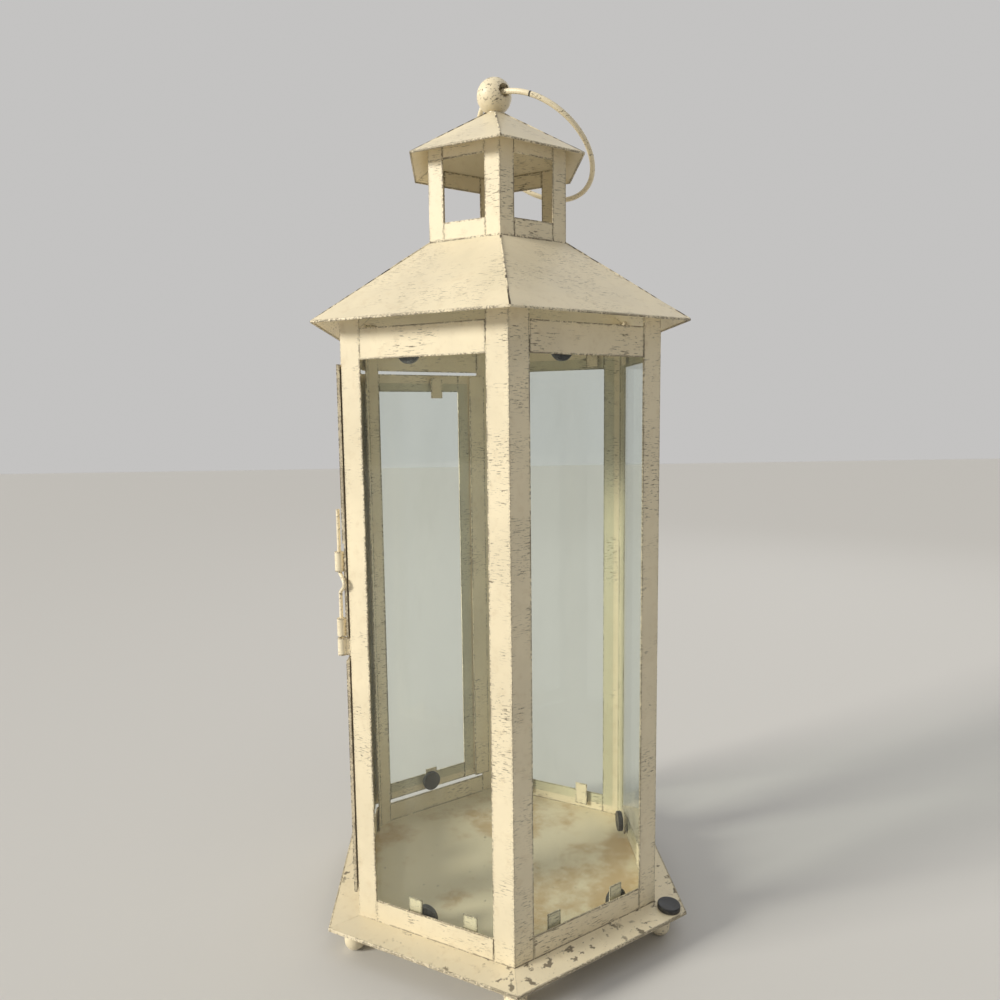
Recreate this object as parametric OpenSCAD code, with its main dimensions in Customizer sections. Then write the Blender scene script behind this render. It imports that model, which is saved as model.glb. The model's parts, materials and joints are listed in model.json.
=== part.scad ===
// Hexagonal candle lantern: sheet-metal body, two-face glazed door, vented cupola, ring handle.
// Millimetres. +Z is up, the origin is on the ground under the lantern's axis, and -Y is a corner.

/* [Body] */
// circumradius of the post corners
body_r = 100; // [90:1:115]
// thickness of the sheet metal
sheet = 0.8; // [0.6:0.1:1.2]
// width of each flat of a folded post
post_w = 12.4; // [10:0.2:16]
// underside of the bottom rails, above the ground
body_z = 18.8; // [16:0.2:24]
// height of the bottom rails
bottom_rail_h = 12.8; // [10:0.2:18]
// underside of the top rails, above the ground
top_rail_z = 336.1; // [300:1:360]
// height of the top rails
top_rail_h = 16.3; // [12:0.1:20]
// thickness of the glass
glass_t = 2; // [2:0.5:3]

/* [Base] */
// circumradius of the flared skirt
skirt_r = 118.9; // [110:0.5:130]
// drop of the skirt from the posts to its edge
skirt_drop = 0.9; // [0.4:0.1:3]
// depth of the lip turned down at the skirt's edge
lip_h = 1.6; // [1:0.2:4]
// radius of a ball foot
foot_r = 6.2; // [5:0.2:9]
// radius on which the feet stand
foot_circle_r = 103; // [95:1:108]

/* [Roof] */
// circumradius of the eave
eave_r = 116.1; // [105:0.5:130]
// height of the eave above the ground
eave_z = 356.1; // [340:1:380]
// height of the roof's top edge above the ground
roof_top_z = 402.9; // [390:1:430]

/* [Cupola] */
// circumradius of the cupola's post corners
cupola_r = 44.6; // [40:0.2:55]
// width of each flat of a cupola post
cupola_post_w = 9.2; // [7:0.2:12]
// height of the cupola's bottom rails
cupola_sill_h = 9.9; // [7:0.1:14]
// height of the cupola's top rails' lower edge above the ground
cupola_head_z = 446.6; // [440:0.2:460]
// circumradius of the small roof's eave
small_eave_r = 56; // [50:0.5:65]
// height of the small roof's eave above the ground
small_eave_z = 450.6; // [445:0.2:465]
// rise of the small roof, eave to cap
small_roof_rise = 29.4; // [20:0.2:45]

/* [Ball and ring] */
// radius of the ball finial
ball_r = 10.2; // [9:0.2:14]
// height of the ball's centre above the ground
ball_z = 490.3; // [480:0.1:505]
// height of the ball's hole above its centre
hole_rise = 0.8; // [0:0.1:1.5]
// radius of the hole through the ball
ball_hole_r = 3.6; // [3.4:0.1:4.5]
// centreline radius of the ring handle
ring_r = 39; // [30:1:45]
// radius of the ring's wire
ring_wire_r = 1.55; // [1.2:0.05:2]
// direction of the ball's hole in plan, degrees from +X
ring_axis_deg = -56; // [-90:1:0]
// fall of the ring below level, degrees
ring_fall_deg = 38.5; // [35:0.5:50]

/* [Door] */
// gap between the closed door and the posts it covers
door_gap = 0.7; // [0.5:0.1:1.5]
// thickness of the door's sheet
door_t = 0.9; // [0.6:0.1:1.2]
// width of the door's rails and hinge stile
door_rail_w = 11.6; // [9:0.2:16]
// width of the free stile
free_stile_w = 17.6; // [16:0.2:20]
// gap above and below the door
door_end_gap = 2; // [1:0.2:4]

/* [Latch] */
// radius of the bolt's wire
bolt_r = 1.0; // [0.8:0.05:1.2]
// radius of the latch's curled knuckles
knuckle_r = 2.5; // [2:0.1:3]
// travel of the bolt
bolt_travel = 13.6; // [12:0.2:14]

/* [Discs] */
// radius of the disc magnets
disc_r = 6.6; // [5:0.2:8]
// thickness of the disc magnets
disc_t = 3; // [2:0.5:4]

/* [Hidden] */
$fn = 48;
eps = 0.05;
c30 = cos(30);
ap = body_r * c30;
skirt_ap = skirt_r * c30;
eave_ap = eave_r * c30;
cupola_ap = cupola_r * c30;
small_eave_ap = small_eave_r * c30;
bottom_rail_z = body_z + bottom_rail_h;
rail_top_z = top_rail_z + top_rail_h;
seam = 0.05;
// faces are named by the direction of their normal
fixed_faces = [0, 60, 240, 300];
door_faces = [120, 180];
all_faces = [0, 60, 120, 180, 240, 300];
inner_corner = 150;
full_corners = [-90, -30, 30, 90, 210];
// post tops meet the roof's underside
roof_slope = (roof_top_z - eave_z) / (eave_ap - cupola_ap);
roof_drop = sheet / cos(atan(roof_slope));
post_top = eave_z + (eave_ap - ap) * roof_slope - roof_drop - eps;
cap_ap = 5;
ring_z = ball_z + hole_rise;
small_slope = small_roof_rise / (small_eave_ap - cap_ap);
small_drop = sheet / cos(atan(small_slope));
cupola_top = small_eave_z + (small_eave_ap - cupola_ap) * small_slope - small_drop - eps;
cap_z = small_eave_z + small_roof_rise;
// glass planes, measured outwards from the faces of the posts
pane_x = -sheet - glass_t - eps;
pane_half = 45;
pane_low = bottom_rail_z - 6;
pane_high = top_rail_z + 7;
// retaining tabs
tab_w = 8.6;
tab_t = 0.7;
tab_rise = 6.5;
door_tab_rise = 4.5;
door_top_tab_y = -4;
door_low_tab_y = 7;
// disc lying on the skirt near the right front corner: radius, direction and tilt
skirt_disc_at_r = 109;
skirt_disc_at_deg = -31;
skirt_tilt = atan(skirt_drop / (skirt_r - body_r));
skirt_disc_z = body_z - skirt_drop * (skirt_disc_at_r - body_r) / (skirt_r - body_r) + 0.1;
// door planes
door_in = door_gap;
door_out = door_gap + door_t;
door_low = bottom_rail_z + door_end_gap;
door_high = top_rail_z - door_end_gap;
free_edge = 50.5 * body_r / 100;
hinge_edge = -34.3;
hem_t = 0.8;
hem_w = 3;
door_pane_x = door_in - glass_t - eps;
// inner post behind the door's fold
inner_set = 2.4;
inner_w = 8;
// play round the inner post where it stands in the floor sheet's slot
slot_play = 0.05;
door_disc_y = 8;
door_disc_z = door_low + door_rail_w - 4;
// strip behind the gap on the hinge side
stop_low_y = -43;
stop_high_y = -31;
// hinges
hinge_axis_x = 2.9;
hinge_axis_y = -37.3;
hinge_r = 2.5;
hinge_pin_r = 1.2;
hinge_bore_r = 1.25;
hinge_zs = [80, 290];
hinge_mid = 10;
hinge_side = 9.6;
hinge_play = 0.35;
// latch, set on the door's free stile
latch_x = 4.8;
latch_y = 47;
plate_t = 0.8;
knuckle_bore_r = bolt_r + 0.35;
upper_knuckle = [221.2, 232.2];
middle_knuckle = [184.6, 194.6];
strike_knuckle = [173.6, 183.4];
bolt_low = strike_knuckle[1] + 0.6;
bolt_top = 255.8;
bow_low = 209.2;
bow_high = 220.6;
bow_in = 3;
bow_out = 5.3;
// the wire swells a little where it is bent
bend_swell = 0.15;
notch = [171.8, 184.1];

// sub-part to build

base_tray();
skirt_panels();
skirt_lip();
feet();
posts();
inner_post();
bottom_rails();
top_rails();
panes();
bottom_tabs();
top_tabs();
discs();
roof_panels();
roof_collar();
cupola_posts();
cupola_sills();
cupola_heads();
small_roof();
ball();
ring();
door_corner();
door_free_stile();
door_hinge_stile();
door_top_rails();
door_bottom_rails();
door_panes();
door_tabs();
door_disc();
hinge_post_plates();
hinge_door_plates();
hinge_pins();
latch_plate();
bolt();
strike();
door_stop();

// ---------- helpers ----------

// puts a child on a face: x outwards from the posts' plane, y along the face, z up
module on_face(a) {
  rotate([0, 0, a])
    translate([ap, 0, 0])
      children();
}

// box from two corners
module block(lo, hi) {
  translate(lo)
    cube(hi - lo);
}

// wedge of plan belonging to one face, less half a seam on each side
module face_wedge(reach, low, high) {
  half = reach * tan(30);
  translate([0, 0, low])
    linear_extrude(high - low)
      polygon([[seam * 2, 0], [reach, half - seam], [reach, seam - half]]);
}

// sheet following a profile (apothem, height) on one face, mitred at the corners
module mitred(a, profile, reach, low, high) {
  rotate([0, 0, a])
    intersection() {
      rotate([90, 0, 0])
        linear_extrude(reach * 2, center = true)
          polygon(profile);
      face_wedge(reach, low, high);
    }
}

// folded strip at a corner: circumradius, flat width, thickness
module folded_strip(a, r, w, t, low, high) {
  fold = r - t / c30;
  rotate([0, 0, a])
    translate([0, 0, low])
      linear_extrude(high - low)
        polygon([
          [r, 0],
          [r - w / 2, w * c30],
          [r - w / 2 - t * c30, w * c30 - t / 2],
          [fold, 0],
          [r - w / 2 - t * c30, t / 2 - w * c30],
          [r - w / 2, -w * c30]
        ]);
}

// one L-shaped retaining tab standing behind the glass, at y along the face
module tab(y, low, high, foot_z, x_in, x_out) {
  block([x_in - tab_t, y - tab_w / 2, low], [x_in, y + tab_w / 2, high]);
  block([x_in - eps, y - tab_w / 2, foot_z], [x_out, y + tab_w / 2, foot_z + tab_t]);
}

// knuckle tube standing on z
module knuckle(span, r, bore) {
  translate([0, 0, span[0]])
    difference() {
      cylinder(h = span[1] - span[0], r = r);
      translate([0, 0, -1])
        cylinder(h = span[1] - span[0] + 2, r = bore);
    }
}

// straight wire between two points
module wire(from, to, r) {
  v = to - from;
  len = norm(v);
  translate(from)
    rotate([0, acos(v[2] / len), atan2(v[1], v[0])])
      cylinder(h = len, r = r);
}

// ---------- base ----------

module base_tray() {
  color("wheat")
    difference() {
      rotate([0, 0, 30])
        translate([0, 0, body_z - sheet])
          cylinder(h = sheet, r = body_r - 1, $fn = 6);
      folded_strip(inner_corner, body_r - inner_set / c30 + slot_play, inner_w + slot_play,
        sheet + 2 * slot_play, 0, body_z + 5);
    }
}

module skirt_panels() {
  low = body_z - skirt_drop;
  start = (body_r - 1) * c30 + seam;
  color("wheat")
    for (a = all_faces)
      mitred(a, [[start, body_z], [skirt_ap, low], [skirt_ap, low - sheet],
        [start, body_z - sheet]], skirt_ap + 5, 0, body_z + 5);
}

module skirt_lip() {
  low = body_z - skirt_drop - sheet;
  color("wheat")
    for (a = all_faces)
      mitred(a, [[skirt_ap - sheet, low], [skirt_ap, low], [skirt_ap, low - lip_h + sheet],
        [skirt_ap - sheet, low - lip_h + sheet]], skirt_ap + 5, 0, body_z + 5);
}

module feet() {
  neck_top = body_z - skirt_drop * (foot_circle_r - body_r) / (skirt_r - body_r) - sheet - 0.1;
  color("wheat")
    for (a = [-90:60:210])
      rotate([0, 0, a])
        translate([foot_circle_r, 0, 0]) {
          intersection() {
            translate([0, 0, foot_r - 0.4])
              sphere(r = foot_r);
            cylinder(h = foot_r * 2, r = foot_r + 1);
          }
          translate([0, 0, foot_r])
            cylinder(h = neck_top - foot_r, r = 3.2);
        }
}

// ---------- body ----------

module posts() {
  color("wheat")
    for (a = full_corners)
      folded_strip(a, body_r, post_w, sheet, body_z, post_top);
}

module inner_post() {
  color("wheat")
    folded_strip(inner_corner, body_r - inner_set / c30, inner_w, sheet, body_z - sheet, post_top);
}

// rail on one face, butted to post flats and run to the corner where the post is set in
module rail(a, low, high) {
  half = body_r / 2 - post_w;
  long = body_r / 2 - 0.5;
  ends = a == 120 ? [-half, long] : a == 180 ? [-long, half] : [-half, half];
  on_face(a)
    block([-sheet, ends[0], low], [0, ends[1], high]);
}

module bottom_rails() {
  color("wheat")
    for (a = all_faces)
      rail(a, body_z, bottom_rail_z);
}

module top_rails() {
  color("wheat")
    for (a = all_faces)
      rail(a, top_rail_z, rail_top_z);
}

module panes() {
  color("lightcyan", 0.4)
    for (a = fixed_faces)
      on_face(a)
        block([pane_x, -pane_half, pane_low], [pane_x + glass_t, pane_half, pane_high]);
}

module bottom_tabs() {
  color("wheat")
    for (a = fixed_faces)
      on_face(a)
        for (y = a == 240 ? [-13, 22] : [-22, 22])
          tab(y, pane_low - 3, bottom_rail_z + tab_rise, pane_low - 2, pane_x - eps, -sheet);
}

module top_tabs() {
  color("wheat")
    for (a = fixed_faces)
      on_face(a)
        for (y = [-30, 30])
          tab(y, top_rail_z + 1, pane_high + 3, pane_high + 1, pane_x - eps, -sheet);
}

// disc magnet against the inside of a pane
module face_disc(a, y, z) {
  on_face(a)
    translate([pane_x - eps - tab_t - 0.1 - disc_t, y, z])
      rotate([0, 90, 0])
        cylinder(h = disc_t, r = disc_r);
}

module discs() {
  color("dimgray") {
    face_disc(240, -10, top_rail_z + 3.6);
    face_disc(300, -14, top_rail_z + 3.6);
    face_disc(300, 24, bottom_rail_z - 4);
    face_disc(240, -7, bottom_rail_z - 4);
    face_disc(0, 26, bottom_rail_z - 4);
    rotate([0, 0, skirt_disc_at_deg])
      translate([skirt_disc_at_r, 0, skirt_disc_z])
        rotate([0, skirt_tilt, 0])
          cylinder(h = disc_t, r = disc_r);
  }
}

// ---------- roof ----------

module roof_panels() {
  color("wheat")
    for (a = all_faces)
      mitred(a, [[eave_ap, eave_z], [cupola_ap, roof_top_z],
        [cupola_ap, roof_top_z - roof_drop], [eave_ap, eave_z - roof_drop]],
        eave_ap + 5, eave_z - 5, roof_top_z + 5);
}

// short collar that carries the cupola, inside the roof's top edge
module roof_collar() {
  color("wheat")
    for (a = all_faces)
      mitred(a, [[cupola_ap - sheet - seam, roof_top_z - 7], [cupola_ap - seam, roof_top_z - 7],
        [cupola_ap - seam, roof_top_z - seam], [cupola_ap - sheet - seam, roof_top_z - seam]],
        eave_ap, 0, roof_top_z + 5);
}

// ---------- cupola ----------

module cupola_posts() {
  color("wheat")
    for (a = [-90:60:210])
      folded_strip(a, cupola_r, cupola_post_w, sheet, roof_top_z, cupola_top);
}

module cupola_rail(low, high) {
  half = cupola_r / 2 - cupola_post_w;
  color("wheat")
    for (a = all_faces)
      rotate([0, 0, a])
        translate([cupola_ap, 0, 0])
          block([-sheet, -half, low], [0, half, high]);
}

module cupola_sills() {
  cupola_rail(roof_top_z, roof_top_z + cupola_sill_h);
}

module cupola_heads() {
  cupola_rail(cupola_head_z, cupola_top);
}

module small_roof() {
  color("wheat") {
    for (a = all_faces)
      mitred(a, [[small_eave_ap, small_eave_z], [cap_ap, cap_z], [cap_ap, cap_z - small_drop],
        [small_eave_ap, small_eave_z - small_drop]], small_eave_ap + 5, small_eave_z - 5, cap_z + 5);
    translate([0, 0, cap_z - small_drop])
      cylinder(h = small_drop, r = cap_ap - 0.1);
  }
}

module ball() {
  color("wheat")
    difference() {
      union() {
        translate([0, 0, ball_z])
          sphere(r = ball_r);
        translate([0, 0, cap_z])
          cylinder(h = ball_z - cap_z, r = 4.2);
      }
      translate([0, 0, ring_z])
        rotate([0, 90, ring_axis_deg])
          cylinder(h = ball_r * 4, r = ball_hole_r, center = true);
    }
}

// wire ring through the ball, lying over the small roof
module ring() {
  ring_split = 359;
  split_at = 141;
  color("wheat")
    translate([0, 0, ring_z])
      rotate([0, 0, ring_axis_deg + 90])
        rotate([0, ring_fall_deg, 0])
          translate([ring_r, 0, 0])
            rotate([0, 0, -split_at])
              rotate_extrude(angle = ring_split)
                translate([ring_r, 0])
                  circle(r = ring_wire_r);
}

// ---------- door, spanning the faces at 180 and 120 ----------

module door_corner() {
  r = body_r + door_out / c30;
  color("wheat")
    folded_strip(inner_corner, r, post_w, door_t, door_low, door_high);
}

module door_free_stile() {
  color("wheat")
    on_face(180)
      difference() {
        union() {
          block([door_in, free_edge - free_stile_w, door_low], [door_out, free_edge, door_high]);
          block([door_out - eps, free_edge - hem_w, door_low], [door_out + hem_t, free_edge, door_high]);
        }
        block([0, 43, notch[0]], [6, 60, notch[1]]);
        block([door_out, 30, notch[0] - 1], [6, 60, upper_knuckle[1] + 5]);
      }
}

module door_hinge_stile() {
  color("wheat")
    on_face(120)
      block([door_in, hinge_edge, door_low], [door_out, hinge_edge + door_rail_w, door_high]);
}

// door rail on both faces, butted between stiles and fold
module door_rail(low, high) {
  fold = 50 * body_r / 100 + door_out * tan(30) - post_w;
  on_face(180)
    block([door_in, -fold, low], [door_out, free_edge - free_stile_w, high]);
  on_face(120)
    block([door_in, hinge_edge + door_rail_w, low], [door_out, fold, high]);
}

module door_top_rails() {
  color("wheat")
    door_rail(door_high - door_rail_w, door_high);
}

module door_bottom_rails() {
  color("wheat")
    door_rail(door_low, door_low + door_rail_w);
}

module door_panes() {
  color("lightcyan", 0.4) {
    on_face(180)
      block([door_pane_x, -46, door_low + 6], [door_pane_x + glass_t, 36.9, door_high - 6]);
    on_face(120)
      block([door_pane_x, hinge_edge + 5, door_low + 6], [door_pane_x + glass_t, 46, door_high - 6]);
  }
}

module door_tabs() {
  low = door_low + 2;
  high = door_high - 2;
  color("wheat")
    for (a = door_faces)
      on_face(a) {
        tab(door_low_tab_y, low, door_low + door_rail_w + door_tab_rise, low + 1,
          door_pane_x - eps, door_in);
        tab(door_top_tab_y, door_high - door_rail_w - door_tab_rise, high, high - 1.6,
          door_pane_x - eps, door_in);
      }
}

module door_disc() {
  color("dimgray")
    on_face(120)
      translate([door_pane_x - eps - tab_t - 0.1 - disc_t, door_disc_y, door_disc_z])
        rotate([0, 90, 0])
          cylinder(h = disc_t, r = disc_r);
}

// ---------- hinges on the back post ----------

// keeps the light out of the gap between the hinge stile and the post
module door_stop() {
  color("wheat")
    on_face(120)
      block([-2 * sheet, stop_low_y, door_low], [-sheet, stop_high_y, door_high]);
}

module hinge_at(z) {
  on_face(120)
    translate([0, 0, z])
      children();
}

module on_hinge_axis() {
  translate([hinge_axis_x, hinge_axis_y, 0])
    children();
}

// plate and knuckle are cut by one bore
module hinge_bore() {
  on_hinge_axis()
    translate([0, 0, -40])
      cylinder(h = 80, r = hinge_bore_r);
}

module hinge_post_plates() {
  half = hinge_mid / 2;
  tall = half + hinge_play + hinge_side;
  color("wheat")
    for (z = hinge_zs)
      hinge_at(z)
        difference() {
          union() {
            block([0, -48.5, -tall], [sheet, hinge_axis_y - hinge_r - 0.5, tall]);
            block([0, -41, -half], [sheet, hinge_axis_y, half]);
            on_hinge_axis()
              translate([0, 0, -half])
                cylinder(h = hinge_mid, r = hinge_r);
          }
          hinge_bore();
        }
}

module hinge_door_plates() {
  low = hinge_mid / 2 + hinge_play;
  high = low + hinge_side;
  color("wheat")
    for (z = hinge_zs)
      hinge_at(z)
        difference() {
          union() {
            block([door_out, -34.1, -high], [door_out + sheet, -25, high]);
            for (s = [-high, low]) {
              block([door_out, hinge_axis_y, s], [door_out + sheet, -34, s + hinge_side]);
              on_hinge_axis()
                translate([0, 0, s])
                  cylinder(h = hinge_side, r = hinge_r);
            }
          }
          hinge_bore();
        }
}

module hinge_pins() {
  half = hinge_mid / 2 + hinge_play + hinge_side + 0.4;
  color("silver")
    for (z = hinge_zs)
      hinge_at(z)
        on_hinge_axis() {
          translate([0, 0, -half])
            cylinder(h = half * 2, r = hinge_pin_r);
          for (s = [-half - 0.8, half])
            translate([0, 0, s])
              cylinder(h = 0.8, r = 2);
        }
}

// ---------- latch on the door's free stile ----------

module on_bolt_axis() {
  on_face(180)
    translate([latch_x, latch_y, 0])
      children();
}

module latch_plate() {
  color("wheat")
    difference() {
      union() {
        on_face(180)
          block([door_out, 38, middle_knuckle[0]], [door_out + plate_t, 48, upper_knuckle[1]]);
        on_bolt_axis()
          for (k = [upper_knuckle, middle_knuckle])
            translate([0, 0, k[0]])
              cylinder(h = k[1] - k[0], r = knuckle_r);
      }
      on_bolt_axis()
        cylinder(h = 300, r = knuckle_bore_r);
    }
}

// sliding wire bolt with a kink as its finger grip
module bolt() {
  low = [0, 0, bow_low];
  mid = [-bow_in, bow_out, (bow_low + bow_high) / 2];
  high = [0, 0, bow_high];
  color("wheat")
    on_bolt_axis() {
      translate([0, 0, bolt_low])
        cylinder(h = bow_low - bolt_low, r = bolt_r);
      wire(low, mid, bolt_r);
      wire(mid, high, bolt_r);
      translate([0, 0, bow_high])
        cylinder(h = bolt_top - bow_high, r = bolt_r);
      for (p = [low, mid, high])
        translate(p)
          sphere(r = bolt_r + bend_swell);
    }
}

// fixed knuckle that takes the bolt, on the left front post
module strike() {
  color("wheat")
    difference() {
      union() {
        on_face(180) {
          block([0, 43.8, strike_knuckle[0]], [0.9, 49.6, strike_knuckle[1]]);
          block([0, 45.6, strike_knuckle[0]], [latch_x - 1.8, 48.4, strike_knuckle[1]]);
        }
        on_bolt_axis()
          translate([0, 0, strike_knuckle[0]])
            cylinder(h = strike_knuckle[1] - strike_knuckle[0], r = knuckle_r);
      }
      on_bolt_axis()
        translate([0, 0, strike_knuckle[0] - 1])
          cylinder(h = 20, r = knuckle_bore_r);
    }
}
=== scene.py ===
"""Candle lantern: finish, worn details and studio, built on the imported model."""

import json
import math
import random

import bpy
from bpy.props import FloatProperty, FloatVectorProperty, PointerProperty
from bpy.types import Operator, Panel, PropertyGroup
from mathutils import Euler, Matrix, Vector


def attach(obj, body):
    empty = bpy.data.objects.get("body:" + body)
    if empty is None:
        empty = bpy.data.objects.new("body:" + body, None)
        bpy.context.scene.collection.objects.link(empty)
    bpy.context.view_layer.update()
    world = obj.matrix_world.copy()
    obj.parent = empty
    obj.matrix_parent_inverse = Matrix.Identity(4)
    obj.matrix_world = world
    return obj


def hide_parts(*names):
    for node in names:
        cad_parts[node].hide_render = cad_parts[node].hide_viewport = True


bl_info = {
    "name": "Candle lantern",
    "version": (1, 0, 0),
    "blender": (4, 5, 0),
    "location": "View3D > Sidebar > Lantern",
    "description": "Finishes a hexagonal candle lantern in worn cream paint",
    "category": "Object",
}

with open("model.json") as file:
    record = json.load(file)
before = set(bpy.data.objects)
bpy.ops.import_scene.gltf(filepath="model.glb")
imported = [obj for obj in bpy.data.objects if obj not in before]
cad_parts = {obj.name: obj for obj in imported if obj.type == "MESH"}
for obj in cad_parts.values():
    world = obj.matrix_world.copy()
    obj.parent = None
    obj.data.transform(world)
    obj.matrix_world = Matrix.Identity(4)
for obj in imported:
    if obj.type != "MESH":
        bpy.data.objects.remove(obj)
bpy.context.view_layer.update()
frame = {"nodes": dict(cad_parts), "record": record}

MM = 0.001
SIDES = (0, 60, 120, 180, 240, 300)
CORNERS = (-90, -30, 30, 90, 150, 210)
APOTHEM = math.cos(math.radians(30))

# sizes shared with the metalwork, in metres
BODY_R = 100 * MM
SHEET = 0.8 * MM
POST_W = 12.4 * MM
BODY_Z = 18.8 * MM
SILL_TOP = 31.6 * MM
HEAD_LOW = 336.1 * MM
HEAD_TOP = 352.4 * MM
SKIRT_R = 118.9 * MM
SKIRT_Z = 17.9 * MM
EAVE_R = 116.1 * MM
EAVE_Z = 356.1 * MM
ROOF_TOP_R = 44.6 * MM
ROOF_TOP_Z = 402.9 * MM
CUPOLA_R = 44.6 * MM
CUPOLA_POST_W = 9.2 * MM
CUPOLA_SILL_TOP = 412.8 * MM
CUPOLA_HEAD_LOW = 446.6 * MM
CUPOLA_HEAD_TOP = 456.3 * MM
SMALL_EAVE_R = 56 * MM
SMALL_EAVE_Z = 450.6 * MM
CAP_R = 5 * MM / APOTHEM
CAP_Z = 480.0 * MM
BALL_R = 10.2 * MM
BALL_Z = 490.3 * MM
RING_Z = 491.1 * MM
BALL_HOLE_R = 3.6 * MM
RING_R = 39 * MM
RING_AXIS = math.radians(-56)
RING_FALL = math.radians(38.5)
FOOT_CIRCLE_R = 103 * MM
DISC_R = 6.6 * MM
DISC_T = 3 * MM
LATCH_X = 4.8 * MM
LATCH_Y = 47 * MM
GLASS_T = 2 * MM
TAB_T = 0.7 * MM
DOOR_GAP = 0.7 * MM
# slack on each face of a pane, and between a tab and a disc
GLASS_SLACK = 0.05 * MM
DISC_SLACK = 0.1 * MM
# the disc that lies on the skirt: place, height and the skirt's fall there
LYING_AT = -31
LYING_R = 109 * MM
LYING_Z = BODY_Z - 0.329 * MM
SKIRT_FALL = math.atan(0.9 / 18.9)
SUN_SPREAD = math.radians(16)


# ---------- settings ----------


class LanternFinish(PropertyGroup):
    """Colours of the lantern's paint, glass and discs, and its wear."""

    cream: FloatVectorProperty(
        name="Cream paint", description="Paint on the posts, rails and skirt",
        subtype="COLOR", size=3, min=0, max=1, default=(0.79, 0.70, 0.505),
    )
    bare: FloatVectorProperty(
        name="Rubbed metal", description="Dark metal that shows where the paint is rubbed through",
        subtype="COLOR", size=3, min=0, max=1, default=(0.045, 0.030, 0.018),
    )
    glass: FloatVectorProperty(
        name="Glass tint", description="Tint of the panes",
        subtype="COLOR", size=3, min=0, max=1, default=(0.975, 0.99, 0.975),
    )
    disc: FloatVectorProperty(
        name="Disc black", description="Colour of the disc magnets",
        subtype="COLOR", size=3, min=0, max=1, default=(0.012, 0.012, 0.013),
    )
    wear: FloatProperty(
        name="Wear", description="How much paint is rubbed off along the edges",
        min=0, max=1, default=0.5,
    )


class LanternSizes(PropertyGroup):
    """Sizes of the lantern's small details."""

    wire: FloatProperty(
        name="Ring wire", description="Radius of the ring handle's wire",
        unit="LENGTH", default=1.55 * MM,
    )
    bolt: FloatProperty(
        name="Bolt wire", description="Radius of the latch bolt's wire",
        unit="LENGTH", default=1.0 * MM,
    )
    hem: FloatProperty(
        name="Hem", description="Radius of the rolled hems on the eaves and the skirt",
        unit="LENGTH", default=0.6 * MM,
    )
    ridge: FloatProperty(
        name="Ridge bead", description="Radius of the soldered bead along a roof ridge",
        unit="LENGTH", default=0.55 * MM,
    )


class LanternStudio(PropertyGroup):
    """Lights and floor."""

    key: FloatProperty(
        name="Key light", description="Strength of the soft light at the left",
        min=0, default=3.3,
    )
    fill: FloatProperty(
        name="Fill light", description="Power of the soft light overhead",
        unit="POWER", default=2.2,
    )
    floor: FloatVectorProperty(
        name="Floor", description="Colour of the studio floor",
        subtype="COLOR", size=3, min=0, max=1, default=(0.62, 0.61, 0.59),
    )


# ---------- modelling helpers ----------


def clear_selection():
    """Leaves object mode's selection empty."""
    if bpy.context.mode != "OBJECT":
        bpy.ops.object.mode_set(mode="OBJECT")
    bpy.ops.object.select_all(action="DESELECT")


def take(obj):
    """Makes obj the only selected object and the active one."""
    clear_selection()
    obj.select_set(True)
    bpy.context.view_layer.objects.active = obj


def settle(obj, angle=35):
    """Puts the piece's place into its mesh, points its faces outwards and smooths it."""
    take(obj)
    bpy.ops.object.transform_apply(location=True, rotation=True, scale=True)
    bpy.ops.object.mode_set(mode="EDIT")
    bpy.ops.mesh.select_all(action="SELECT")
    bpy.ops.mesh.remove_doubles(threshold=0.00001)
    bpy.ops.mesh.normals_make_consistent(inside=False)
    bpy.ops.object.mode_set(mode="OBJECT")
    bpy.ops.object.shade_smooth_by_angle(angle=math.radians(angle))


def file_piece(obj, name, body, slot, material, *nodes):
    """Names a finished piece, paints it and puts it on its body."""
    obj.name = name
    obj.data.name = name
    obj.data.materials.clear()
    obj.data.materials.append(material)
    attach(obj, body)
    if nodes:
        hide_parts(*nodes)
    return obj


def own_copy(obj, place=(0, 0, 0), turn=(0, 0, 0)):
    """A copy with its own mesh, moved and turned."""
    twin = obj.copy()
    twin.data = obj.data.copy()
    bpy.context.scene.collection.objects.link(twin)
    twin.location = place
    twin.rotation_euler = turn
    take(twin)
    bpy.ops.object.transform_apply(location=True, rotation=True, scale=True)
    return twin


def remove(obj):
    """Deletes a pattern that was only there to be copied."""
    take(obj)
    bpy.ops.object.delete()


def join(objs):
    """Joins objects into the first."""
    clear_selection()
    for o in objs:
        o.select_set(True)
    bpy.context.view_layer.objects.active = objs[0]
    bpy.ops.object.join()
    return objs[0]


def wire_along(points, radius, closed=False, sides=3):
    """A round wire drawn through the points, with flat ends."""
    clear_selection()
    bpy.ops.mesh.primitive_plane_add(size=0.001, location=(0, 0, 0))
    obj = bpy.context.object
    bpy.ops.object.mode_set(mode="EDIT")
    bpy.ops.mesh.select_all(action="SELECT")
    bpy.ops.mesh.merge(type="CENTER")
    bpy.ops.mesh.select_mode(type="VERT")
    bpy.ops.mesh.select_all(action="SELECT")
    bpy.ops.transform.translate(value=points[0])
    last = Vector(points[0])
    for p in points[1:]:
        step = Vector(p) - last
        bpy.ops.mesh.extrude_vertices_move(TRANSFORM_OT_translate={"value": step})
        last = Vector(p)
    if closed:
        bpy.ops.object.mode_set(mode="OBJECT")
        for v in obj.data.vertices:
            v.select = v.index in (0, len(points) - 1)
        bpy.ops.object.mode_set(mode="EDIT")
        bpy.ops.mesh.edge_face_add()
    bpy.ops.object.mode_set(mode="OBJECT")
    bpy.ops.object.convert(target="CURVE")
    obj = bpy.context.object
    obj.data.bevel_depth = radius
    obj.data.bevel_resolution = sides
    obj.data.use_fill_caps = True
    bpy.ops.object.convert(target="MESH")
    obj = bpy.context.object
    settle(obj, 50)
    return obj


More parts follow.
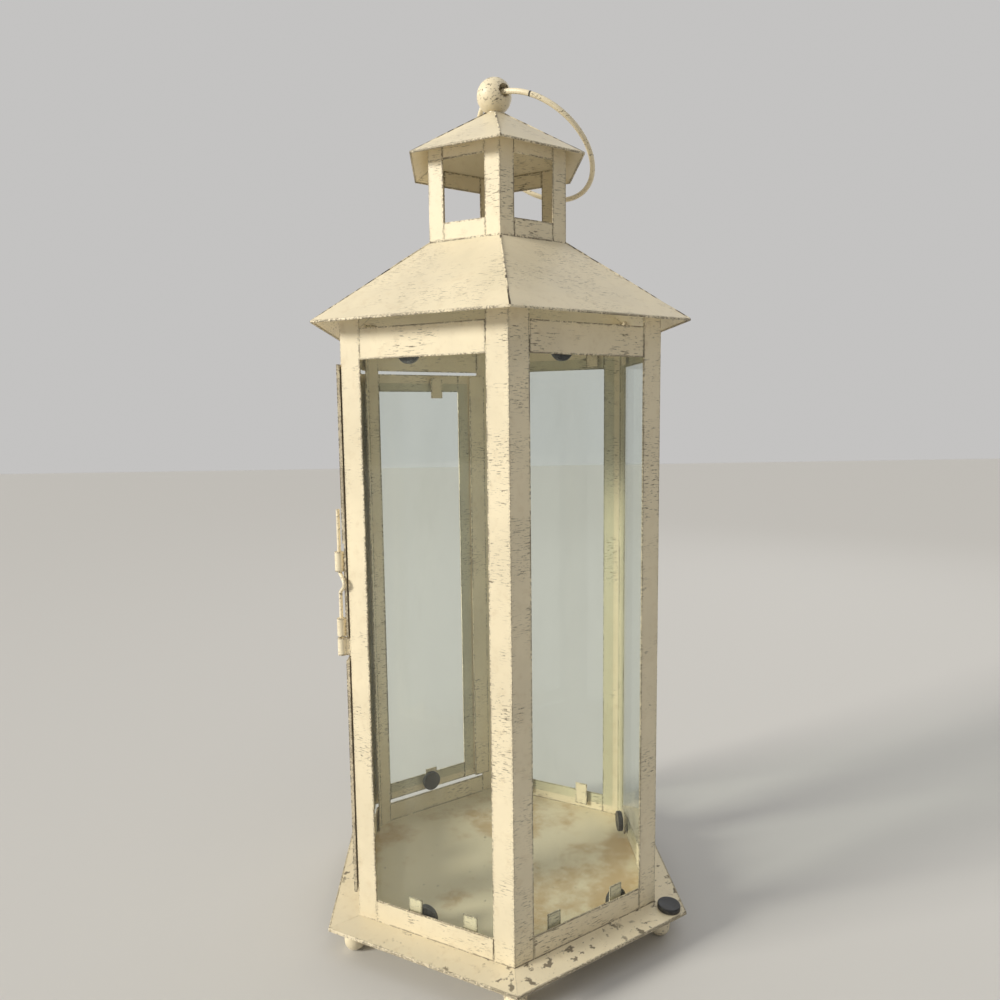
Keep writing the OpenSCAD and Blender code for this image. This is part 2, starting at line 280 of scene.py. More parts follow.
def block(low, high):
    """A box between two corners, by a cube primitive stretched in edit mode."""
    clear_selection()
    low, high = Vector(low), Vector(high)
    bpy.ops.mesh.primitive_cube_add(size=1, location=(0, 0, 0))
    obj = bpy.context.object
    bpy.ops.object.mode_set(mode="EDIT")
    bpy.ops.transform.resize(value=high - low)
    bpy.ops.transform.translate(value=(low + high) / 2)
    bpy.ops.object.mode_set(mode="OBJECT")
    return obj


def on_side(side, out, along, up):
    """A point given outwards from a side's plane, along it and up."""
    a = math.radians(side)
    r = BODY_R * APOTHEM + out
    return Vector((r * math.cos(a) - along * math.sin(a),
                   r * math.sin(a) + along * math.cos(a), up))


def at_corner(corner, r, z):
    """A point on a corner's radius."""
    a = math.radians(corner)
    return Vector((r * math.cos(a), r * math.sin(a), z))


def rounded(obj, width, segments=2):
    """Rounds the edges with a bevel that is applied."""
    take(obj)
    bevel = obj.modifiers.new("edges", "BEVEL")
    bevel.width = width
    bevel.segments = segments
    bevel.limit_method = "ANGLE"
    bpy.ops.object.modifier_apply(modifier=bevel.name)


# ---------- materials ----------


class Recipe:
    """Short way to lay out a material's nodes."""

    def __init__(self, name):
        self.material = bpy.data.materials.new(name)
        self.material.use_nodes = True
        self.tree = self.material.node_tree
        self.tree.nodes.clear()
        self.out = self.tree.nodes.new("ShaderNodeOutputMaterial")
        self.coord = self.tree.nodes.new("ShaderNodeTexCoord").outputs["Object"]

    def add(self, kind, **values):
        """A node with its properties set."""
        node = self.tree.nodes.new("ShaderNode" + kind)
        for key, value in values.items():
            setattr(node, key, value)
        return node

    def link(self, a, b):
        """Joins an output to an input."""
        self.tree.links.new(a, b)

    def stretched(self, scale):
        """Object coordinates stretched by scale."""
        node = self.add("Mapping")
        node.inputs["Scale"].default_value = scale
        self.link(self.coord, node.inputs["Vector"])
        return node.outputs["Vector"]

    def noise(self, scale, detail=4, rough=0.6, vector=None):
        """Noise factor."""
        node = self.add("TexNoise")
        node.inputs["Scale"].default_value = scale
        node.inputs["Detail"].default_value = detail
        node.inputs["Roughness"].default_value = rough
        self.link(vector or self.coord, node.inputs["Vector"])
        return node.outputs["Fac"]

    def step(self, value, low, high, to_low=0.0, to_high=1.0):
        """Smooth step of value from low to high."""
        node = self.add("MapRange", interpolation_type="SMOOTHSTEP")
        node.inputs["From Min"].default_value = low
        node.inputs["From Max"].default_value = high
        node.inputs["To Min"].default_value = to_low
        node.inputs["To Max"].default_value = to_high
        self.link(value, node.inputs["Value"])
        return node.outputs["Result"]

    def math(self, how, a, b):
        """Math node on outputs or numbers."""
        node = self.add("Math", operation=how)
        for socket, value in zip(node.inputs, (a, b)):
            if isinstance(value, (int, float)):
                socket.default_value = value
            else:
                self.link(value, socket)
        return node.outputs[0]

    def blend(self, fac, a, b, how="MIX"):
        """Mix of two colours."""
        node = self.add("Mix", data_type="RGBA", blend_type=how)
        self.link(fac, node.inputs["Factor"])
        for socket, value in ((node.inputs[6], a), (node.inputs[7], b)):
            if isinstance(value, (tuple, list)):
                socket.default_value = (*value[:3], 1)
            else:
                self.link(value, socket)
        return node.outputs[2]

    def edges(self, radius):
        """1 along sharp edges, by comparing a rounded normal with the true one."""
        bevel = self.add("Bevel", samples=6)
        bevel.inputs["Radius"].default_value = radius
        geometry = self.add("NewGeometry")
        dot = self.add("VectorMath", operation="DOT_PRODUCT")
        self.link(bevel.outputs["Normal"], dot.inputs[0])
        self.link(geometry.outputs["True Normal"], dot.inputs[1])
        return self.step(dot.outputs["Value"], 0.995, 0.80)


def times(colour, k):
    """A colour made lighter or darker."""
    return tuple(min(1.0, c * k) for c in colour)


def worn_paint(name, colour, bare, wear, lines=(260, 260, 2300), specks=0.5, gloss=0.42,
               grime=0.25, depth=0.75):
    """Cream paint, uneven and stained, rubbed through at the edges, with fine dark scratches."""
    r = Recipe(name)
    cloud = r.noise(16, 5, 0.6)
    fine = r.noise(170, 6, 0.7)
    chips = r.noise(800, 4, 0.7)
    grit = r.noise(1500, 2, 0.5)
    patch = r.noise(30, 4, 0.6)
    edge = r.edges(1.9 * MM)
    near = r.edges(4 * MM)

    base = r.blend(r.step(cloud, 0.35, 0.68), times(colour, 0.91), times(colour, 1.04))
    base = r.blend(r.math("MULTIPLY", r.step(fine, 0.50, 0.72), grime), base,
                   (colour[0] * 0.66, colour[1] * 0.57, colour[2] * 0.46))

    # rubbed edges: a row of small chips, denser in worn patches
    broken = r.math("ADD", r.math("MULTIPLY", chips, 0.75), r.math("MULTIPLY", patch, 0.45))
    rub = r.math("MULTIPLY", edge, r.step(broken, 0.645 - 0.16 * wear, 0.675 - 0.16 * wear))

    # broken hairlines that cross the metal, and fine specks, thicker near its edges
    hair = r.noise(1, 3, 0.55, r.stretched(lines))
    dashes = r.math("ADD", hair, r.math("MULTIPLY", grit, 0.20))
    worn_here = r.math("ADD", patch, r.math("MULTIPLY", near, 0.09))
    scratch = r.math("MULTIPLY", r.step(dashes, 0.690, 0.735), r.step(worn_here, 0.45, 0.58))
    speck = r.math("MULTIPLY", r.step(chips, 0.665 - 0.04 * specks, 0.69 - 0.04 * specks),
                   r.step(worn_here, 0.52, 0.60))
    marks = r.math("MAXIMUM", r.math("MULTIPLY", scratch, depth), r.math("MULTIPLY", speck, 0.85))
    worn = r.math("MAXIMUM", rub, marks)

    shader = r.add("BsdfPrincipled")
    shader.inputs["Specular IOR Level"].default_value = 0.42
    r.link(r.blend(worn, base, bare), shader.inputs["Base Color"])
    rough = r.math("ADD", r.step(cloud, 0.3, 0.7, gloss - 0.05, gloss + 0.10),
                   r.math("MULTIPLY", worn, 0.28))
    r.link(rough, shader.inputs["Roughness"])

    brush = r.noise(1, 4, 0.6, r.stretched(tuple(v * 2.2 for v in lines)))
    height = r.math("SUBTRACT", r.math("ADD", r.math("MULTIPLY", brush, 0.45),
                                       r.math("MULTIPLY", fine, 0.35)), worn)
    bump = r.add("Bump")
    bump.inputs["Strength"].default_value = 0.35
    bump.inputs["Distance"].default_value = 0.18 * MM
    r.link(height, bump.inputs["Height"])
    r.link(bump.outputs["Normal"], shader.inputs["Normal"])
    r.link(shader.outputs[0], r.out.inputs["Surface"])
    return r.material


def stained_floor(colour, bare):
    """Paint on the floor sheet, with warm stains and scorch."""
    r = Recipe("stained_floor_paint")
    cloud = r.noise(22, 5, 0.65)
    fine = r.noise(230, 5, 0.7)
    stain = r.step(cloud, 0.48, 0.66)
    base = r.blend(stain, times(colour, 0.92), (colour[0] * 0.70, colour[1] * 0.58, colour[2] * 0.45))
    base = r.blend(r.step(fine, 0.66, 0.74), base, bare)
    shader = r.add("BsdfPrincipled")
    shader.inputs["Specular IOR Level"].default_value = 0.35
    r.link(base, shader.inputs["Base Color"])
    r.link(r.step(cloud, 0.3, 0.7, 0.42, 0.68), shader.inputs["Roughness"])
    bump = r.add("Bump")
    bump.inputs["Strength"].default_value = 0.25
    bump.inputs["Distance"].default_value = 0.2 * MM
    r.link(fine, bump.inputs["Height"])
    r.link(bump.outputs["Normal"], shader.inputs["Normal"])
    r.link(shader.outputs[0], r.out.inputs["Surface"])
    return r.material


def pane_glass(tint):
    """Thin window glass: clear, faintly green, with light smears, dust and a sheen edge-on."""
    r = Recipe("pane_glass")
    clear = r.add("BsdfTransparent")
    shine = r.add("BsdfGlossy")
    dust = r.add("BsdfDiffuse")
    clear.inputs["Color"].default_value = (*tint, 1)
    smear = r.noise(1, 4, 0.6, r.stretched((30, 30, 9)))
    speck = r.noise(520, 3, 0.6)
    r.link(r.step(smear, 0.35, 0.75, 0.01, 0.06), shine.inputs["Roughness"])
    dust.inputs["Color"].default_value = (0.72, 0.74, 0.66, 1)
    glance = r.add("LayerWeight")
    glance.inputs["Blend"].default_value = 0.5
    edge_on = r.math("POWER", glance.outputs["Facing"], 5.0)
    mirror = r.add("MixShader")
    r.link(r.math("ADD", r.math("MULTIPLY", edge_on, 0.55), 0.03), mirror.inputs[0])
    r.link(clear.outputs[0], mirror.inputs[1])
    r.link(shine.outputs[0], mirror.inputs[2])
    film = r.math("ADD", r.step(smear, 0.45, 0.80, 0.012, 0.05),
                  r.math("MULTIPLY", r.step(speck, 0.72, 0.80), 0.18))
    body = r.add("MixShader")
    r.link(film, body.inputs[0])
    r.link(mirror.outputs[0], body.inputs[1])
    r.link(dust.outputs[0], body.inputs[2])
    r.link(body.outputs[0], r.out.inputs["Surface"])
    return r.material


def ferrite(colour):
    """Matt black ceramic magnet, dusty, with pale chips on its rim."""
    r = Recipe("ferrite_black")
    fine = r.noise(300, 5, 0.7)
    edge = r.edges(0.6 * MM)
    rub = r.math("MULTIPLY", edge, r.step(fine, 0.45, 0.60))
    dusty = r.blend(r.step(fine, 0.4, 0.75), colour, times((0.05, 0.048, 0.045), 1))
    shader = r.add("BsdfPrincipled")
    shader.inputs["Specular IOR Level"].default_value = 0.5
    r.link(r.blend(r.math("MULTIPLY", rub, 0.5), dusty, (0.14, 0.13, 0.12)), shader.inputs["Base Color"])
    r.link(r.step(fine, 0.3, 0.7, 0.30, 0.52), shader.inputs["Roughness"])
    bump = r.add("Bump")
    bump.inputs["Strength"].default_value = 0.3
    bump.inputs["Distance"].default_value = 0.1 * MM
    r.link(fine, bump.inputs["Height"])
    r.link(bump.outputs["Normal"], shader.inputs["Normal"])
    r.link(shader.outputs[0], r.out.inputs["Surface"])
    return r.material


def dull_steel():
    """Bare hinge pin steel, brushed along its length, slightly browned."""
    r = Recipe("dull_steel")
    grain = r.noise(1, 4, 0.6, r.stretched((900, 900, 60)))
    tone = r.noise(60, 3, 0.6)
    shader = r.add("BsdfPrincipled")
    shader.inputs["Metallic"].default_value = 1.0
    r.link(r.blend(r.step(tone, 0.35, 0.7), (0.42, 0.40, 0.37), (0.22, 0.17, 0.12)),
           shader.inputs["Base Color"])
    r.link(r.step(grain, 0.3, 0.7, 0.28, 0.5), shader.inputs["Roughness"])
    bump = r.add("Bump")
    bump.inputs["Strength"].default_value = 0.2
    bump.inputs["Distance"].default_value = 0.05 * MM
    r.link(grain, bump.inputs["Height"])
    r.link(bump.outputs["Normal"], shader.inputs["Normal"])
    r.link(shader.outputs[0], r.out.inputs["Surface"])
    return r.material


def seam_dark(colour, bare):
    """Dark ragged line of bare metal and old paint in a joint."""
    r = Recipe("seam_dark")
    ragged = r.noise(240, 5, 0.75)
    broad = r.noise(60, 2, 0.5)
    where = r.math("ADD", r.math("MULTIPLY", ragged, 0.7), r.math("MULTIPLY", broad, 0.5))
    shader = r.add("BsdfPrincipled")
    shader.inputs["Specular IOR Level"].default_value = 0.3
    r.link(r.blend(r.step(where, 0.52, 0.66), bare, times(colour, 0.9)), shader.inputs["Base Color"])
    r.link(r.step(ragged, 0.3, 0.7, 0.5, 0.8), shader.inputs["Roughness"])
    bump = r.add("Bump")
    bump.inputs["Strength"].default_value = 0.4
    bump.inputs["Distance"].default_value = 0.1 * MM
    r.link(ragged, bump.inputs["Height"])
    r.link(bump.outputs["Normal"], shader.inputs["Normal"])
    r.link(shader.outputs[0], r.out.inputs["Surface"])
    return r.material


PAINTS = {}


def finish_settings():
    """The scene's colours."""
    return bpy.context.scene.lantern_finish


def size_settings():
    """The scene's small sizes."""
    return bpy.context.scene.lantern_sizes


class LANTERN_OT_paint(Operator):
    """Mixes the lantern's finishes and paints the metalwork and the glass"""

    bl_idname = "lantern.paint"
    bl_label = "Paint metalwork"

    def execute(self, context):
        """Makes every finish and gives each node its own."""
        f = finish_settings()
        cream, bare = tuple(f.cream), tuple(f.bare)
        PAINTS["cream_paint"] = worn_paint("cream_paint", cream, bare, f.wear)
        PAINTS["rail_paint"] = worn_paint("rail_paint", cream, bare, f.wear + 0.15,
                                          lines=(200, 200, 1700), specks=0.1)
        PAINTS["roof_paint"] = worn_paint("roof_paint", times(cream, 0.97), bare, f.wear + 0.1,
                                          lines=(260, 260, 2600), specks=0.1, gloss=0.38,
                                          depth=0.5)
        PAINTS["ball_paint"] = worn_paint("ball_paint", cream, bare, f.wear * 0.5,
                                          lines=(500, 500, 900), specks=0.1, gloss=0.36)
        PAINTS["wire_paint"] = worn_paint("wire_paint", times(cream, 1.08), bare, f.wear * 0.5,
                                          lines=(500, 500, 900), specks=0.4, gloss=0.34)
        PAINTS["floor_paint"] = stained_floor(cream, bare)
        PAINTS["glass"] = pane_glass(tuple(f.glass))
        PAINTS["ferrite"] = ferrite(tuple(f.disc))
        PAINTS["steel"] = dull_steel()
        PAINTS["seam"] = seam_dark(cream, bare)
        rails = ("top_rails", "bottom_rails", "door_top_rails", "door_bottom_rails",
                 "cupola_sills", "cupola_heads", "skirt_panels", "skirt_lip")
        slots = {s["node"]: s["material_slot"] for s in frame["record"]["subparts"]}
        for name, obj in frame["nodes"].items():
            finish = "rail_paint" if name in rails else slots[name]
            obj.data.materials.clear()
            obj.data.materials.append(PAINTS[finish])
        return {"FINISHED"}


class LANTERN_OT_feet(Operator):
    """Turns the ball feet with their necks and washers"""

    bl_idname = "lantern.feet"
    bl_label = "Ball feet"

    def execute(self, context):
        """One foot is shaped and copied to every corner."""
        radius = 6.2 * MM
        neck_top = 17.6 * MM
        clear_selection()
        bpy.ops.mesh.primitive_uv_sphere_add(segments=48, ring_count=32, radius=radius,
                                             location=(0, 0, radius - 0.4 * MM))
        ball = bpy.context.object
        take(ball)
        bpy.ops.object.transform_apply()
        bpy.ops.object.mode_set(mode="EDIT")
        bpy.ops.mesh.select_all(action="SELECT")
        bpy.ops.mesh.bisect(plane_co=(0, 0, 0.00001), plane_no=(0, 0, 1), clear_inner=True, use_fill=True)
        bpy.ops.object.mode_set(mode="OBJECT")
        clear_selection()
        bpy.ops.mesh.primitive_cylinder_add(vertices=32, radius=3.2 * MM, depth=neck_top - 10 * MM,
                                            location=(0, 0, (neck_top + 10 * MM) / 2))
        neck = bpy.context.object
        clear_selection()
        bpy.ops.mesh.primitive_cylinder_add(vertices=32, radius=4.6 * MM, depth=1 * MM,
                                            location=(0, 0, 12.2 * MM))
        washer = bpy.context.object
        rounded(washer, 0.3 * MM)
        foot = join([ball, neck, washer])
        settle(foot)
        for i, corner in enumerate(CORNERS):
            twin = own_copy(foot, at_corner(corner, FOOT_CIRCLE_R, 0), (0, 0, math.radians(corner)))
            file_piece(twin, f"foot_{i}", "lantern", "cream_paint", PAINTS["ball_paint"], "feet")
        remove(foot)
        return {"FINISHED"}


class LANTERN_OT_discs(Operator):
    """Shapes the black disc magnets"""

    bl_idname = "lantern.discs"
    bl_label = "Disc magnets"

    def execute(self, context):
        """One chamfered disc is shaped and copied to its places; the low one on the front-left side shows
        only a thin dark sliver above the rail, which is painted shadow of the tab made with a black disc.
        """
        clear_selection()
        bpy.ops.mesh.primitive_cylinder_add(vertices=64, radius=DISC_R, depth=DISC_T)
        disc = bpy.context.object
        rounded(disc, 0.45 * MM, 3)
        bpy.ops.object.mode_set(mode="EDIT")
        bpy.ops.mesh.select_mode(type="FACE")
        bpy.ops.mesh.select_all(action="DESELECT")
        bpy.ops.object.mode_set(mode="OBJECT")
        for face in disc.data.polygons:
            face.select = abs(face.normal.z) > 0.99 and face.area > DISC_R * DISC_R
        bpy.ops.object.mode_set(mode="EDIT")
        bpy.ops.mesh.inset(thickness=0.9 * MM, depth=-0.12 * MM, use_individual=True)
        bpy.ops.object.mode_set(mode="OBJECT")
        settle(disc, 30)
        behind = GLASS_T + 2 * GLASS_SLACK + TAB_T + DISC_SLACK + DISC_T / 2
        back = -SHEET - behind
        door_back = DOOR_GAP - behind
        places = (
            (240, -10, HEAD_LOW + 3.6 * MM, back, "lantern"),
            (300, -14, HEAD_LOW + 3.6 * MM, back, "lantern"),
            (300, 24, SILL_TOP - 4 * MM, back, "lantern"),
            # front-left bottom: this disc sits low so that only a thin dark sliver shows above the rail
            # beside the tab; the sliver is painted shadow of the tab, made with a black disc
            (240, -7, SILL_TOP - 4 * MM, back, "lantern"),
            (0, 26, SILL_TOP - 4 * MM, back, "lantern"),
            (120, 8, 41.2 * MM, door_back, "door"),
        )
        for i, (side, along, up, out, body) in enumerate(places):
            turn = Euler((0, math.pi / 2, math.radians(side)))
            twin = own_copy(disc, on_side(side, out, along * MM, up), turn)
            node = "discs" if body == "lantern" else "door_disc"
            file_piece(twin, f"disc_{i}", body, "ferrite", PAINTS["ferrite"], node)
        lying = own_copy(disc, (0, 0, DISC_T / 2))
        lying.rotation_euler = (0, SKIRT_FALL, math.radians(LYING_AT))
        lying.location = at_corner(LYING_AT, LYING_R, LYING_Z)
        take(lying)
        bpy.ops.object.transform_apply(location=True, rotation=True, scale=True)
        file_piece(lying, "disc_lying", "lantern", "ferrite", PAINTS["ferrite"], "discs")
        remove(disc)
        return {"FINISHED"}


class LANTERN_OT_ball(Operator):
    """Turns and drills the ball finial"""

    bl_idname = "lantern.ball"
    bl_label = "Ball finial"

    def execute(self, context):
        """A ball on a short neck, drilled through for the ring."""
        clear_selection()
        bpy.ops.mesh.primitive_uv_sphere_add(segments=96, ring_count=64, radius=BALL_R,
                                             location=(0, 0, BALL_Z))
        ball = bpy.context.object
        clear_selection()
        bpy.ops.mesh.primitive_cylinder_add(vertices=96, radius=BALL_HOLE_R, depth=BALL_R * 4,
                                            location=(0, 0, RING_Z),
                                            rotation=(0, math.pi / 2, RING_AXIS))
        drill = bpy.context.object
        take(ball)
        cut = ball.modifiers.new("hole", "BOOLEAN")
        cut.operation = "DIFFERENCE"
        cut.object = drill
        cut.solver = "EXACT"
        bpy.ops.object.modifier_apply(modifier=cut.name)
        remove(drill)
        rounded(ball, 0.3 * MM, 2)
        settle(ball, 30)
        clear_selection()
        bpy.ops.mesh.primitive_cylinder_add(vertices=48, radius=4.2 * MM, depth=2.2 * MM,
                                            location=(0, 0, CAP_Z + 0.9 * MM))
        neck = bpy.context.object
        rounded(neck, 0.5 * MM, 3)
        settle(neck)
        file_piece(ball, "ball_finial", "lantern", "ball_paint", PAINTS["ball_paint"], "ball")
        file_piece(neck, "ball_neck", "lantern", "ball_paint", PAINTS["ball_paint"], "ball")
        return {"FINISHED"}


class LANTERN_OT_ring(Operator):
    """Bends the ring handle and its butt joint"""

    bl_idname = "lantern.ring"
    bl_label = "Ring handle"

    def execute(self, context):
        """A wire ring with a slightly swollen, dark butt joint."""
        wire = size_settings().wire
        joint_at = math.radians(141)
        along = Vector((math.cos(RING_AXIS), math.sin(RING_AXIS), 0))
        fall = Vector((-math.sin(RING_AXIS) * math.cos(RING_FALL),
                       math.cos(RING_AXIS) * math.cos(RING_FALL), -math.sin(RING_FALL)))
        middle = Vector((0, 0, RING_Z)) + fall * RING_R

        def on_ring(a):
            return middle + fall * RING_R * math.cos(a) + along * RING_R * math.sin(a)

        count = 120
        loop = [on_ring(joint_at + 2 * math.pi * i / count) for i in range(count)]
        ring = wire_along(loop, wire, closed=True, sides=6)
        file_piece(ring, "ring_handle", "ring", "wire_paint", PAINTS["wire_paint"], "ring")
        butt = [on_ring(joint_at + math.radians(d)) for d in (-0.7, 0, 0.7)]
        sleeve = wire_along(butt, wire * 1.03, sides=6)
        file_piece(sleeve, "ring_joint", "ring", "wire_paint", PAINTS["ferrite"], "ring")
        return {"FINISHED"}


class LANTERN_OT_bolt(Operator):
    """Bends the latch's sliding wire bolt"""

    bl_idname = "lantern.bolt"
    bl_label = "Latch bolt"

    def execute(self, context):
        """A straight wire with a smooth kink as its finger grip."""
        low, high = 184.0 * MM, 255.8 * MM
        bow_low, bow_high = 209.2 * MM, 220.6 * MM
        depth, aside = -3.0 * MM, 5.3 * MM
        steps = 16
        route = [(0, 0, low + 0.4 * MM), (0, 0, bow_low - 1.5 * MM)]
        for i in range(steps + 1):
            t = i / steps
            swell = math.sin(math.pi * t) ** 1.3
            route.append((depth * swell, aside * swell, bow_low + (bow_high - bow_low) * t))
        route += [(0, 0, bow_high + 1.5 * MM), (0, 0, high)]
        points = [on_side(180, LATCH_X + x, LATCH_Y + y, z) for x, y, z in route]
        bolt = wire_along(points, size_settings().bolt, sides=5)
        file_piece(bolt, "latch_bolt", "bolt", "wire_paint", PAINTS["wire_paint"], "bolt")
        return {"FINISHED"}


class LANTERN_OT_hems(Operator):
    """Rolls the hems of the eaves and the skirt"""

    bl_idname = "lantern.hems"
    bl_label = "Rolled hems"

    def execute(self, context):
        """A thin rolled edge round each hexagonal sheet."""
        hem = size_settings().hem
        rounds = (
            ("eave_hem", EAVE_R - 0.5 * MM, EAVE_Z - 0.45 * MM, "roof_paint"),
            ("small_eave_hem", SMALL_EAVE_R - 0.5 * MM, SMALL_EAVE_Z - 0.45 * MM, "roof_paint"),
            ("skirt_hem", SKIRT_R - 0.5 * MM, SKIRT_Z - 0.4 * MM, "cream_paint"),
        )
        for name, r, z, paint in rounds:
            corners = [at_corner(c, r, z) for c in CORNERS]
            tube = wire_along(corners, hem, closed=True)
            slot = "roof_paint" if "eave" in name else "cream_paint"
            file_piece(tube, name, "lantern", slot, PAINTS[paint])
        return {"FINISHED"}


class LANTERN_OT_ridges(Operator):
    """Runs a soldered bead up every ridge of both roofs"""

    bl_idname = "lantern.ridges"
    bl_label = "Ridge beads"

    def execute(self, context):
        """A slightly wandering bead along each ridge, with its paint rubbed through."""
        bead = size_settings().ridge
        wander = random.Random(7)
        runs = (
            ("ridge", EAVE_R, EAVE_Z, ROOF_TOP_R, ROOF_TOP_Z, 14),
            ("small_ridge", SMALL_EAVE_R, SMALL_EAVE_Z, CAP_R, CAP_Z, 9),
        )
        for name, r0, z0, r1, z1, steps in runs:
            for i, corner in enumerate(CORNERS):
                start = at_corner(corner, r0 - 0.6 * MM, z0 - 0.15 * MM)
                end = at_corner(corner, r1, z1 - 0.15 * MM)
                points = []
                for k in range(steps + 1):
                    p = start.lerp(end, k / steps)
                    points.append(p + Vector([wander.uniform(-0.12, 0.12) * MM for _ in range(3)]))
                obj = wire_along(points, bead)
                file_piece(obj, f"{name}_{i}", "lantern", "roof_paint", PAINTS["seam"])
        return {"FINISHED"}


class LANTERN_OT_joints(Operator):
    """Marks the butt joints between rails and posts"""

    bl_idname = "lantern.joints"
    bl_label = "Rail joints"

    def execute(self, context):
        """A ragged dark line at each end of every rail, on the body and on the cupola."""
        wide, proud = 0.22 * MM, 0.06 * MM
        strips = []
        half = BODY_R / 2 - POST_W
        for side in SIDES:
            ends = {120: (-half,), 180: (half,)}.get(side, (-half, half))
            for y in ends:
                for low, high in ((BODY_Z, SILL_TOP), (HEAD_LOW, HEAD_TOP)):
                    strip = block((BODY_R * APOTHEM - 0.3 * MM, y - wide, low),
                                  (BODY_R * APOTHEM + proud, y + wide, high))
                    strip.rotation_euler = (0, 0, math.radians(side))
                    strips.append(strip)
            small = CUPOLA_R / 2 - CUPOLA_POST_W
            for y in (-small, small):
                for low, high in ((ROOF_TOP_Z, CUPOLA_SILL_TOP), (CUPOLA_HEAD_LOW, CUPOLA_HEAD_TOP)):
                    strip = block((CUPOLA_R * APOTHEM - 0.3 * MM, y - wide * 0.7, low),
                                  (CUPOLA_R * APOTHEM + proud, y + wide * 0.7, high))
                    strip.rotation_euler = (0, 0, math.radians(side))
                    strips.append(strip)
        for strip in strips:
            take(strip)
            bpy.ops.object.transform_apply()
        seams = join(strips)
        settle(seams)
        file_piece(seams, "rail_joints", "lantern", "cream_paint", PAINTS["seam"])
        return {"FINISHED"}


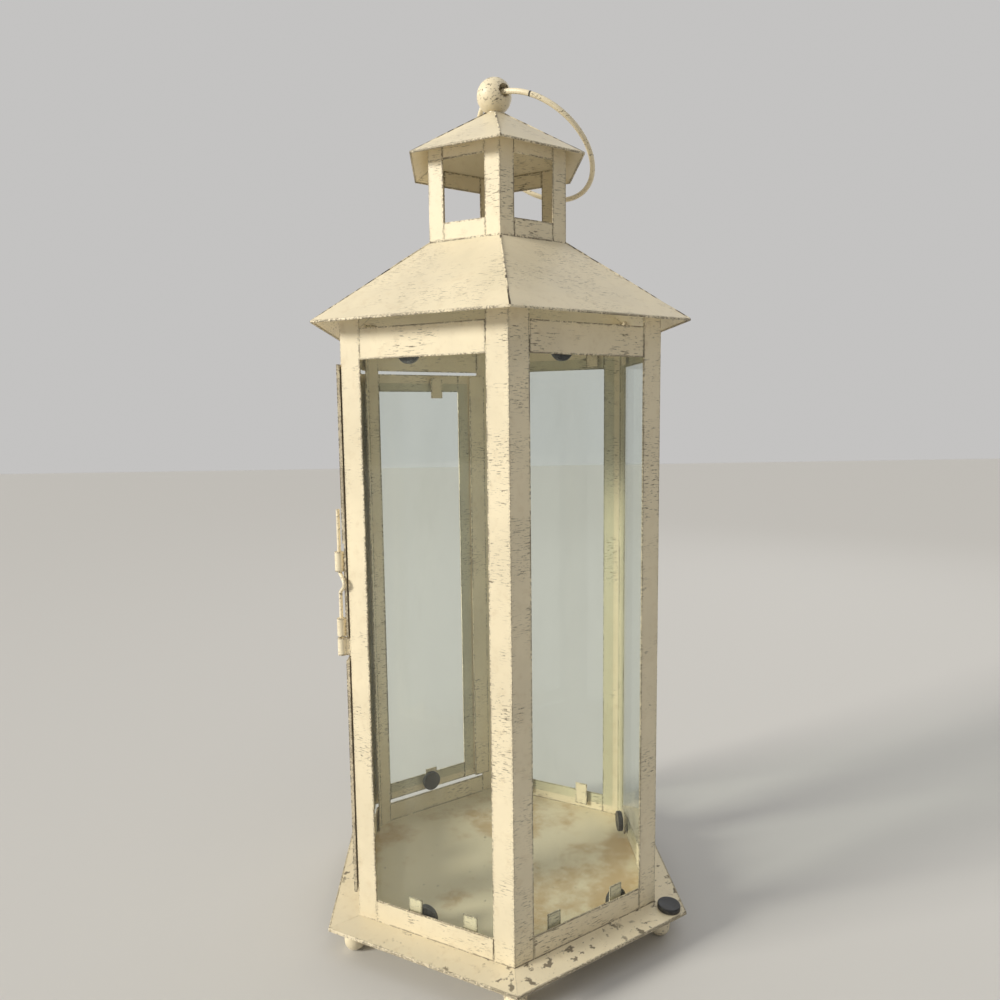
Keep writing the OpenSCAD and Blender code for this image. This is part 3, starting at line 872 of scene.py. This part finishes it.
class LANTERN_OT_stage(Operator):
    """Sets the floor, the lights and the camera"""

    bl_idname = "lantern.stage"
    bl_label = "Studio"

    def execute(self, context):
        """A pale floor, a sky that is brighter behind, three soft lights and the camera."""
        s = context.scene.lantern_studio
        scene = context.scene
        clear_selection()
        bpy.ops.mesh.primitive_plane_add(size=8, location=(0, 0, 0))
        floor = context.object
        floor.name = "studio_floor"
        ground = Recipe("studio_floor")
        shader = ground.add("BsdfPrincipled")
        shader.inputs["Base Color"].default_value = (*s.floor, 1)
        shader.inputs["Roughness"].default_value = 0.75
        ground.link(shader.outputs[0], ground.out.inputs["Surface"])
        floor.data.materials.append(ground.material)

        world = bpy.data.worlds.new("studio_air")
        world.use_nodes = True
        tree = world.node_tree
        air = tree.nodes["Background"]
        air.inputs["Color"].default_value = (0.86, 0.85, 0.84, 1)
        coord = tree.nodes.new("ShaderNodeTexCoord")
        split = tree.nodes.new("ShaderNodeSeparateXYZ")
        glow = tree.nodes.new("ShaderNodeMapRange")
        glow.interpolation_type = "SMOOTHSTEP"
        for name, value in (("From Min", -0.5), ("From Max", 0.6), ("To Min", 0.40), ("To Max", 0.64)):
            glow.inputs[name].default_value = value
        tree.links.new(coord.outputs["Generated"], split.inputs[0])
        tree.links.new(split.outputs["Y"], glow.inputs["Value"])
        tree.links.new(glow.outputs["Result"], air.inputs["Strength"])
        scene.world = world

        aim = Vector((0, 0, 250 * MM))
        lights = (
            ("key", (-1.25, -0.42, 0.78), 0, s.key, (1.0, 0.955, 0.86)),
            ("fill", (0.25, -0.5, 1.5), 0.9, s.fill, (1.0, 0.98, 0.95)),
            ("back", (0.7, 1.0, 0.9), 0.8, s.fill * 0.6, (0.95, 0.97, 1.0)),
        )
        for name, place, size, power, colour in lights:
            lamp = bpy.data.lights.new(name, "AREA" if size else "SUN")
            if size:
                lamp.size = size
            else:
                lamp.angle = SUN_SPREAD
            lamp.energy = power
            lamp.color = colour
            obj = bpy.data.objects.new(name, lamp)
            scene.collection.objects.link(obj)
            obj.location = place
            obj.rotation_euler = (aim - obj.location).to_track_quat("-Z", "Y").to_euler()

        lens = bpy.data.cameras.new("camera")
        lens.sensor_width = 36
        lens.lens = 27.9
        lens.clip_start = 0.01
        camera = bpy.data.objects.new("camera", lens)
        scene.collection.objects.link(camera)
        camera.location = (-24.9 * MM, -473.9 * MM, 307.3 * MM)
        pitch, heading, roll = math.radians(-6.41), math.radians(-3.07), math.radians(-0.68)
        look = Euler((math.pi / 2 + pitch, 0, heading)).to_matrix()
        lean = Euler((0, 0, roll)).to_matrix()
        camera.rotation_euler = (look @ lean).to_euler()
        scene.camera = camera
        scene.view_settings.view_transform = "Standard"
        return {"FINISHED"}


OPERATORS = (
    LANTERN_OT_paint, LANTERN_OT_feet, LANTERN_OT_discs, LANTERN_OT_ball, LANTERN_OT_ring,
    LANTERN_OT_bolt, LANTERN_OT_hems, LANTERN_OT_ridges, LANTERN_OT_joints, LANTERN_OT_stage,
)


class LANTERN_PT_panel(Panel):
    """Lists the lantern's settings and its makers"""

    bl_idname = "LANTERN_PT_panel"
    bl_label = "Candle lantern"
    bl_space_type = "VIEW_3D"
    bl_region_type = "UI"
    bl_category = "Lantern"

    def draw(self, context):
        """Shows the settings, then a button for each piece."""
        for group in (context.scene.lantern_finish, context.scene.lantern_sizes,
                      context.scene.lantern_studio):
            box = self.layout.box()
            for key in group.bl_rna.properties.keys():
                if key not in ("rna_type", "name"):
                    box.prop(group, key)
        for op in OPERATORS:
            self.layout.operator(op.bl_idname)


GROUPS = (LanternFinish, LanternSizes, LanternStudio)
CLASSES = (*GROUPS, *OPERATORS, LANTERN_PT_panel)


def register():
    """Registers the classes and hangs the settings on the scene."""
    for cls in CLASSES:
        bpy.utils.register_class(cls)
    bpy.types.Scene.lantern_finish = PointerProperty(type=LanternFinish)
    bpy.types.Scene.lantern_sizes = PointerProperty(type=LanternSizes)
    bpy.types.Scene.lantern_studio = PointerProperty(type=LanternStudio)


def unregister():
    """Takes the settings and the classes away."""
    del bpy.types.Scene.lantern_finish
    del bpy.types.Scene.lantern_sizes
    del bpy.types.Scene.lantern_studio
    for cls in reversed(CLASSES):
        bpy.utils.unregister_class(cls)


def main():
    """Builds everything in order."""
    register()
    bpy.ops.lantern.paint()
    bpy.ops.lantern.feet()
    bpy.ops.lantern.discs()
    bpy.ops.lantern.ball()
    bpy.ops.lantern.ring()
    bpy.ops.lantern.bolt()
    bpy.ops.lantern.hems()
    bpy.ops.lantern.ridges()
    bpy.ops.lantern.joints()
    bpy.ops.lantern.stage()


if __name__ == "__main__":
    main()
